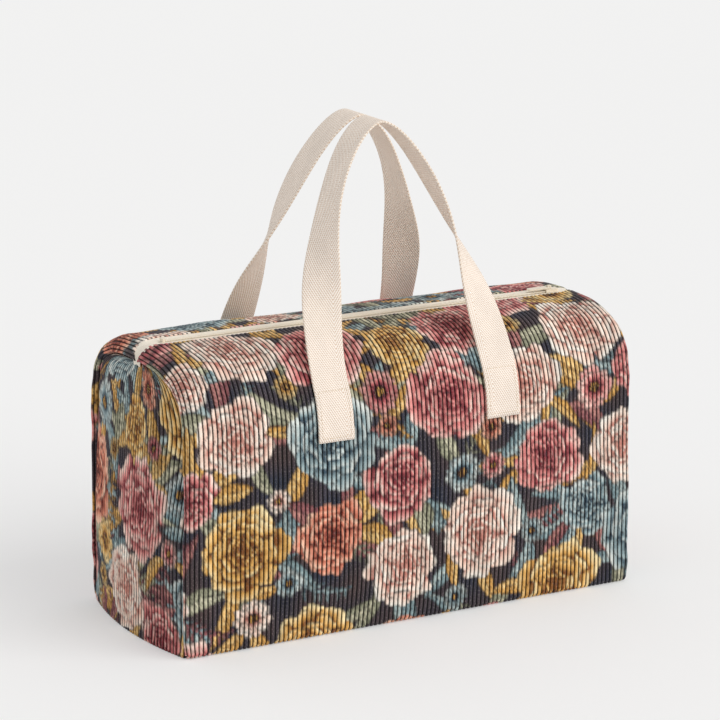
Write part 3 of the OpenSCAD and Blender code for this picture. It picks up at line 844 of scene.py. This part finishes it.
def build_stitching(name, mirror, material):
    """A sewn box on each lower end of a handle."""
    points, normals, across = webbing_frames()
    low, high = SEWN_LOW_Z + BOX_INSET_Z, LIFT_Z - BOX_INSET_Z
    half = WEBBING_W / 2 - BOX_INSET_X
    corners = [(-half, low), (half, low), (half, high), (-half, high), (-half, low)]
    upright = np.array([0.0, 0.0, 1.0])
    rising = np.arange(SEWN_STEPS - 1)
    stitches = []
    for rows in (rising, len(points) - 1 - rising):
        sewn = points[rows]
        out = normals[rows[len(rows) // 2]]
        right = across[rows[len(rows) // 2]]
        right = right if right[0] > 0 else -right
        for (b0, z0), (b1, z1) in zip(corners[:-1], corners[1:]):
            way = unit(right * (b1 - b0) + upright * (z1 - z0))
            count = round(math.hypot(b1 - b0, z1 - z0) / STITCH_STEP)
            for f in (np.arange(count) + 0.5) / count:
                b, z = b0 + (b1 - b0) * f, z0 + (z1 - z0) * f
                at = np.array([np.interp(z, sewn[:, 2], sewn[:, axis]) for axis in range(3)])
                lift = WEBBING_T / 2 + hem_rise(z - SEWN_LOW_Z) + STITCH_LIFT
                stitches.append((at + right * b + out * lift, way, out))
    points, faces = thread_mesh(stitches)
    make_piece(name, points, faces, None, mirror, material)


# Zip

TAPE_TURN_R = 15.0
TAPE_TURN_RIGHT = 10.5
TAPE_TAIL = 5.0
TAPE_END_X = HALF_L - 2.0
TAPE_INNER = COIL_GROOVE / 2
TAPE_OUTER = ZIP_HALF + TAPE_LAP
TAPE_MEET = 0.1
TAPE_MEET_PAST = 4.0
TAPE_CROWN = 0.8
CROWN_START = 7.0
CROWN_SPAN = 4.0


def tape_line():
    """The tape's line along the zip: straight, then turned down at both ends."""
    def bend(radius):
        turn = [(TAPE_END_X - radius * (1 - math.sin(a)), TAPE_Z - radius * (1 - math.cos(a)))
                for a in np.linspace(0, math.pi / 2, 17)]
        return turn + [(TAPE_END_X, turn[-1][1] - TAPE_TAIL * f) for f in (0.25, 0.5, 0.75, 1.0)]

    left = [(-x, z) for x, z in bend(TAPE_TURN_R)[::-1]]
    right = bend(TAPE_TURN_RIGHT)
    flat = [(x, TAPE_Z) for x in np.linspace(left[-1][0], right[0][0], 120)[1:-1]]
    return np.array(left + flat + right)


def build_tape(name, node, mirror, material):
    """One half of the tape: a thin woven strip with a soft edge, lapped under the panel's fold."""
    line = tape_line()
    along = unit(np.gradient(line, axis=0))
    up = np.stack([-along[:, 1], along[:, 0]], -1)
    r = TAPE_T / 2
    flat = np.linspace(TAPE_INNER + r, TAPE_OUTER - r, 9)
    turns = np.linspace(0, math.pi, 5)[1:-1]
    outline = [(b, r) for b in flat[::-1]]
    outline += [(flat[0] - r * math.sin(a), r * math.cos(a)) for a in turns]
    outline += [(b, -r) for b in flat]
    outline += [(flat[-1] + r * math.sin(a), -r * math.cos(a)) for a in turns]
    outline = np.array(outline)
    points = np.zeros((len(line), len(outline), 3))
    length = run_length(line)
    middle = np.interp(0.0, line[:, 0], length)
    wide = 1 - zip_close(length - middle) / TAPE_OUTER
    gap = np.where(np.abs(line[:, 0]) > COIL_RIGHT + TAPE_MEET_PAST, TAPE_MEET, TAPE_INNER)
    crown = TAPE_CROWN * smooth((outline[:, 0] - CROWN_START) / CROWN_SPAN)
    offset = (outline[:, 1] - r + crown)[None, :]
    points[..., 0] = line[:, :1] + up[:, :1] * offset
    points[..., 1] = -(gap[:, None] + (outline[:, 0] - TAPE_INNER) * wide[:, None])
    points[..., 2] = line[:, 1:] + up[:, 1:] * offset
    points[..., 0] *= np.where(np.abs(points[..., 0]) > COIL_RIGHT, taper(points[..., 2]), taper(BODY_H))
    build_strip(name, node, points, outline, length, mirror, material)


COIL_PITCH = 1.6
COIL_WIRE = 0.64
COIL_TURN_STEPS = 11
COIL_SIDES = 5
COIL_EXTRA_W = 0.2
COIL_INSET = 0.5


def build_coil(name, node, mirror, shift, material):
    """One half of the zip's coil, wound as a continuous filament along the tape's inner edge."""
    turns = int((COIL_RIGHT - COIL_LEFT - 2 * COIL_INSET) / COIL_PITCH)
    angle = np.arange(turns * COIL_TURN_STEPS + 1) * 2 * math.pi / COIL_TURN_STEPS
    ry = (COIL_W + COIL_EXTRA_W) / 2 - COIL_WIRE
    rz = COIL_H / 2 - COIL_WIRE
    middle_y = -COIL_GROOVE / 2 - COIL_W / 2 + COIL_EXTRA_W / 2
    line = np.stack([COIL_LEFT + COIL_INSET + shift + angle / (2 * math.pi) * COIL_PITCH,
                     middle_y + ry * np.cos(angle), TAPE_Z + COIL_H / 2 + rz * np.sin(angle)], -1)
    along = unit(np.gradient(line, axis=0))
    side = unit(np.cross(along, np.array([1.0, 0.0, 0.0])))
    up = np.cross(side, along)
    a = (2 * math.pi * np.arange(COIL_SIDES) / COIL_SIDES)[None, :, None]
    rings = line[:, None] + COIL_WIRE * (side[:, None] * np.cos(a) + up[:, None] * np.sin(a))
    faces, _ = flipped(tube_faces(len(line), COIL_SIDES)[0], None)
    piece = make_piece(name, rings.reshape(-1, 3), faces, None, mirror, material)
    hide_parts(node)


# Materials

class Nodes:
    """Short forms for the nodes of one material."""

    def __init__(self, name):
        self.material = bpy.data.materials.new(name)
        self.material.use_nodes = True
        self.tree = self.material.node_tree
        self.shader = self.tree.nodes["Principled BSDF"]

    def add(self, kind, **settings):
        node = self.tree.nodes.new(kind)
        for key, value in settings.items():
            setattr(node, key, value)
        return node

    def put(self, value, socket):
        if isinstance(value, bpy.types.NodeSocket):
            self.tree.links.new(value, socket)
        else:
            socket.default_value = value

    def attribute(self, name):
        return self.add("ShaderNodeAttribute", attribute_name=name)

    def feed(self, node, *values):
        """The node's outputs, with the values on its first inputs."""
        for value, socket in zip(values, node.inputs):
            self.put(value, socket)
        return node.outputs

    def math(self, operation, *values):
        return self.feed(self.add("ShaderNodeMath", operation=operation), *values)[0]

    def remap(self, value, low, high, to_low, to_high):
        node = self.add("ShaderNodeMapRange", interpolation_type="SMOOTHSTEP")
        return self.feed(node, value, low, high, to_low, to_high)[0]

    def vector(self, x, y):
        return self.feed(self.add("ShaderNodeCombineXYZ"), x, y)[0]

    def split(self, value):
        return self.feed(self.add("ShaderNodeSeparateXYZ"), value)

    def noise(self, place, scale, detail=2.0):
        node = self.add("ShaderNodeTexNoise")
        self.put(place, node.inputs["Vector"])
        node.inputs["Scale"].default_value = scale
        node.inputs["Detail"].default_value = detail
        return node.outputs["Fac"]

    def drawn_noise(self, x, y, x_scale, y_scale, detail=2.0):
        """Noise with a scale of its own on each axis."""
        return self.noise(self.vector(self.math("MULTIPLY", x, x_scale), self.math("MULTIPLY", y, y_scale)),
                          1.0, detail)

    def object_place(self):
        return self.add("ShaderNodeTexCoord").outputs["Object"]

    def spread(self, noise, low, high):
        """Values from low to high over the middle of a noise."""
        return self.remap(noise, 0.3, 0.7, low, high)

    def wave(self, place, step):
        return self.math("SINE", self.math("MULTIPLY", place, 2 * math.pi / step))

    def mix(self, share, a, b):
        node = self.add("ShaderNodeMix", data_type="RGBA")
        self.put(share, node.inputs["Factor"])
        self.put(a, node.inputs[6])
        self.put(b, node.inputs[7])
        return node.outputs[2]

    def scale(self, colour, share):
        node = self.add("ShaderNodeVectorMath", operation="SCALE")
        self.put(colour, node.inputs[0])
        self.put(share, node.inputs["Scale"])
        return node.outputs[0]

    def bump(self, height, distance, strength):
        node = self.add("ShaderNodeBump")
        node.inputs["Strength"].default_value = strength
        node.inputs["Distance"].default_value = distance
        self.put(height, node.inputs["Height"])
        self.put(node.outputs[0], self.shader.inputs["Normal"])

    def finish(self, colour, roughness, specular, sheen=0.0):
        self.put(colour, self.shader.inputs["Base Color"])
        self.put(roughness, self.shader.inputs["Roughness"])
        self.shader.inputs["Specular IOR Level"].default_value = specular
        self.shader.inputs["Sheen Weight"].default_value = sheen
        self.shader.inputs["Sheen Roughness"].default_value = 0.45
        return self.material


def paint(r, g, b):
    """A shader's colour from screen values from 0 to 255."""
    return (*[float(v) for v in tone(r, g, b)], 1.0)


def corduroy_material():
    """Printed pile: painted shade in the valleys, fibres drawn along the ribs, and a faint frosting and
    painted highlight on the crests.
    """
    n = Nodes("corduroy")
    s, t, height = n.split(n.attribute("cloth").outputs["Vector"])
    fibre = n.drawn_noise(s, t, 1.9, 0.45, 3.0)
    patch = n.drawn_noise(s, t, 0.05, 0.05)
    colour = n.attribute("print").outputs["Color"]
    pile = n.math("ADD", height, n.math("MULTIPLY", n.math("SUBTRACT", fibre, 0.5), 0.5))
    # Painted shade: the print's colour is darkened down into the valleys between the ribs.
    shade = n.remap(pile, 0.16, 0.82, 0.03, 1.0)
    colour = n.scale(colour, n.math("MULTIPLY", shade, n.spread(patch, 0.92, 1.08)))
    # Frosting of worn pile and painted highlight: the crests are lightened towards a pale cream.
    frost_and_highlight = n.math("MULTIPLY", n.remap(fibre, 0.52, 0.8, 0.0, 0.30), n.remap(height, 0.5, 1.0, 0.0, 1.0))
    colour = n.mix(frost_and_highlight, colour, paint(248, 234, 220))
    n.bump(fibre, 0.0005, 0.7)
    return n.finish(colour, n.spread(fibre, 0.95, 0.82), sheen=0.12, specular=0.15)


# Steps of the webbing's twill across and along, in mm, where it turns back, the step of the weft, and the
# width of the painted shade along each edge
TWILL_ACROSS = 2.4
TWILL_ALONG = 4.0
TWILL_TURN = 30.0
WEFT_STEP = 2.1
SHADED_EDGE_W = 1.8


def webbing_material():
    """Cream cotton webbing in a steep twill, with uneven yarn and painted shade along its edges."""
    n = Nodes("webbing")
    across, along, _ = n.split(n.attribute("cloth").outputs["Vector"])
    fold = n.math("PINGPONG", n.math("ADD", across, WEBBING_W / 2), TWILL_TURN)
    fold = n.math("MULTIPLY", fold, 2 * math.pi / TWILL_ACROSS)
    twill = n.math("SINE", n.math("ADD", fold, n.math("MULTIPLY", along, 2 * math.pi / TWILL_ALONG)))
    weft = n.wave(along, WEFT_STEP)
    fibre = n.drawn_noise(across, along, 1.4, 0.6, 3.0)
    cloud = n.drawn_noise(across, along, 0.06, 0.03)
    height = n.math("ADD", n.math("MULTIPLY", twill, 0.5), n.math("MULTIPLY", weft, 0.2))
    height = n.math("ADD", height, n.math("MULTIPLY", fibre, 0.6))
    tint = n.remap(height, -0.55, 0.7, 0.0, 1.0)
    colour = n.mix(tint, paint(216, 185, 160), paint(255, 247, 237))
    # Painted shade: the colour darkens over the last few millimetres towards each edge.
    edge = n.remap(n.math("ABSOLUTE", across), WEBBING_W / 2 - SHADED_EDGE_W, WEBBING_W / 2, 0.0, 0.3)
    colour = n.mix(edge, colour, paint(222, 204, 182))
    colour = n.scale(colour, n.spread(cloud, 0.97, 1.03))
    n.bump(height, 0.00030, 0.9)
    return n.finish(colour, n.spread(fibre, 0.92, 0.8), sheen=0.08, specular=0.2)


def tape_material():
    """Cream woven tape with fine cross ribs."""
    n = Nodes("zip_tape")
    across, along, _ = n.split(n.attribute("cloth").outputs["Vector"])
    ribs = n.wave(along, 1.1)
    warp = n.wave(across, 0.8)
    fibre = n.noise(n.vector(across, n.math("MULTIPLY", along, 0.5)), 1.2, 3.0)
    height = n.math("ADD", n.math("MULTIPLY", n.math("MULTIPLY", ribs, warp), 0.5), fibre)
    colour = n.mix(n.remap(height, 0.0, 1.1, 0.0, 1.0), paint(244, 231, 212), paint(255, 249, 238))
    n.bump(height, 0.0002, 0.7)
    return n.finish(colour, n.spread(fibre, 0.9, 0.78), sheen=0.06, specular=0.2)


def grained_material(name, scale, detail, tones, bump, roughness, specular):
    """A plain material with a grain between two tones. bump is a depth and a strength, or None."""
    n = Nodes(name)
    grain = n.noise(n.object_place(), scale, detail)
    if bump:
        n.bump(grain, *bump)
    return n.finish(n.mix(grain, *tones), n.spread(grain, *roughness), specular=specular)


def enamel_material():
    """Cream enamel on metal, with faint unevenness and rubbed spots."""
    n = Nodes("zip_metal")
    fine = n.noise(n.object_place(), 900.0, 3.0)
    cloud = n.noise(n.object_place(), 140.0)
    colour = n.mix(cloud, paint(232, 218, 196), paint(244, 234, 216))
    colour = n.mix(n.remap(fine, 0.68, 0.78, 0.0, 0.4), colour, paint(170, 152, 128))
    n.bump(fine, 0.00004, 0.4)
    return n.finish(colour, n.spread(fine, 0.3, 0.42), specular=0.5)


def base_material():
    """Dark corduroy under the bag, its ribs across the depth."""
    n = Nodes("base_cloth")
    x, y, _ = n.split(n.object_place())
    ribs = n.wave(x, RIB_PITCH * MM)
    fibre = n.drawn_noise(x, y, 1900.0, 450.0, 3.0)
    shade = n.remap(n.math("ADD", ribs, n.math("MULTIPLY", fibre, 0.6)), -0.9, 0.6, 0.0, 1.0)
    colour = n.mix(shade, paint(18, 18, 24), paint(58, 56, 68))
    n.bump(n.math("ADD", ribs, fibre), 0.0006, 0.9)
    return n.finish(colour, n.spread(fibre, 0.95, 0.85), sheen=0.1, specular=0.15)


# Share of the floor's own pale tone in what the camera sees
FLOOR_FILL = 0.33


def floor_material():
    """Pale plain floor that keeps a soft shadow."""
    n = Nodes("floor")
    cloud = n.noise(n.object_place(), 0.6)
    colour = n.mix(cloud, paint(252, 252, 252), paint(254, 254, 254))
    n.finish(colour, 0.9, specular=0.0)
    glow = n.add("ShaderNodeEmission")
    glow.inputs["Color"].default_value = paint(241, 241, 241)
    blend = n.add("ShaderNodeMixShader")
    seen = n.math("MULTIPLY", n.add("ShaderNodeLightPath").outputs["Is Camera Ray"], FLOOR_FILL)
    n.put(seen, blend.inputs["Fac"])
    n.put(n.shader.outputs["BSDF"], blend.inputs[1])
    n.put(glow.outputs["Emission"], blend.inputs[2])
    n.put(blend.outputs["Shader"], n.tree.nodes["Material Output"].inputs["Surface"])
    return n.material


# Camera: fitted to the photograph's view, in mm

AIM = Vector((0.0, 0.0, 140.0))
YAW = math.radians(28.82)
PITCH = math.radians(16.20)
DISTANCE = 3200.0
LENS = 159.15
LOOK_RIGHT = -0.00079
LOOK_UP = 0.0303


def make_camera():
    back = Vector((-math.sin(YAW) * math.cos(PITCH), -math.cos(YAW) * math.cos(PITCH), math.sin(PITCH)))
    right = Vector((math.cos(YAW), -math.sin(YAW), 0.0))
    up = back.cross(right)
    look = (-back + right * LOOK_RIGHT + up * LOOK_UP).normalized()
    data = bpy.data.cameras.new("camera")
    data.lens = LENS
    data.sensor_width = 36.0
    data.clip_end = 100.0
    camera = add_object("camera", data)
    camera.location = (AIM + back * DISTANCE) * MM
    camera.rotation_mode = "QUATERNION"
    camera.rotation_quaternion = look.to_track_quat("-Z", "Y")
    scene.camera = camera


FLOOR_HALF = 14.0


def make_floor():
    mesh = bpy.data.meshes.new("floor")
    corners = [(-1, -1), (1, -1), (1, 1), (-1, 1)]
    mesh.from_pydata([(x * FLOOR_HALF, y * FLOOR_HALF, 0.0) for x, y in corners], [], [(0, 1, 2, 3)])
    mesh.materials.append(floor_material())
    floor = add_object("floor", mesh)


AMBIENT = 0.66
KEY_STRENGTH = 1.35
KEY_ANGLE = math.radians(50)
KEY_FROM = Vector((0.6, -0.9, 0.75))
KEY_COLOUR = (1.0, 0.985, 0.96)


def make_light():
    """Soft studio light: an even surround and one broad key from the front right and above."""
    world = bpy.data.worlds.new("surround")
    world.use_nodes = True
    shade = world.node_tree.nodes["Background"]
    shade.inputs["Color"].default_value = (1.0, 1.0, 1.0, 1.0)
    shade.inputs["Strength"].default_value = AMBIENT
    scene.world = world
    data = bpy.data.lights.new("key", "SUN")
    data.energy = KEY_STRENGTH
    data.angle = KEY_ANGLE
    data.color = KEY_COLOUR
    key = add_object("key", data)
    key.rotation_mode = "QUATERNION"
    key.rotation_quaternion = KEY_FROM.to_track_quat("Z", "Y")


SOFT_EDGE = 0.25
SOFT_ANGLE = math.radians(35)
WELD = 0.00001


def dress_node(name, material, bevel=0.0):
    """A CAD node keeps its shape and gets a better material, and softened edges where bevel is given."""
    node = nodes[name]
    node.data.materials.clear()
    node.data.materials.append(material)
    if bevel:
        node.modifiers.new("weld", "WELD").merge_threshold = WELD
        soft = node.modifiers.new("bevel", "BEVEL")
        soft.width = bevel * MM
        soft.segments = 2
        soft.limit_method = "ANGLE"
        soft.angle_limit = SOFT_ANGLE
        soft.harden_normals = False


scene.view_settings.view_transform = "Standard"
make_camera()
make_floor()
make_light()

FRONT = np.array([1.0, 1.0, 1.0])
BACK = np.array([1.0, -1.0, 1.0])
RIGHT = np.array([-1.0, 1.0, 1.0])

cord = corduroy_material()
build_front("cloth_front", "front_panel", FRONT, 21, cord)
build_front("cloth_back", "back_panel", BACK, 34, cord)
build_end("cloth_left_end", "left_end_panel", FRONT, 1.0, 55, cord)
build_end("cloth_right_end", "right_end_panel", RIGHT, RIGHT_ROUND, 89, cord)

web = webbing_material()
thread = grained_material("thread", 1800.0, 1.0, [paint(204, 184, 158), paint(238, 224, 202)], (0.0001, 0.5),
                          (0.75, 0.65), 0.25)
build_handle("webbing_front", "front_handle", FRONT, web)
build_handle("webbing_back", "back_handle", BACK, web)
build_stitching("stitching_front", FRONT, thread)
build_stitching("stitching_back", BACK, thread)

tape = tape_material()
coil = grained_material("zip_coil", 90.0, 2.0, [paint(246, 233, 212), paint(255, 249, 236)], None,
                        (0.42, 0.52), 0.4)
build_tape("tape_front", "zip_tape_front", FRONT, tape)
build_tape("tape_back", "zip_tape_back", BACK, tape)
build_coil("coil_front", "zip_coil_front", FRONT, 0.0, coil)
build_coil("coil_back", "zip_coil_back", BACK, COIL_PITCH / 2, coil)

enamel = enamel_material()
for part in ("zip_slider", "zip_puller", "zip_top_stops", "zip_bottom_stop"):
    dress_node(part, enamel, SOFT_EDGE)
dress_node("base_panel", base_material())
board = grained_material("stiffener", 700.0, 3.0, [paint(58, 56, 54), paint(84, 82, 80)], (0.0002, 0.4),
                         (0.7, 0.55), 0.3)
dress_node("base_board", board)
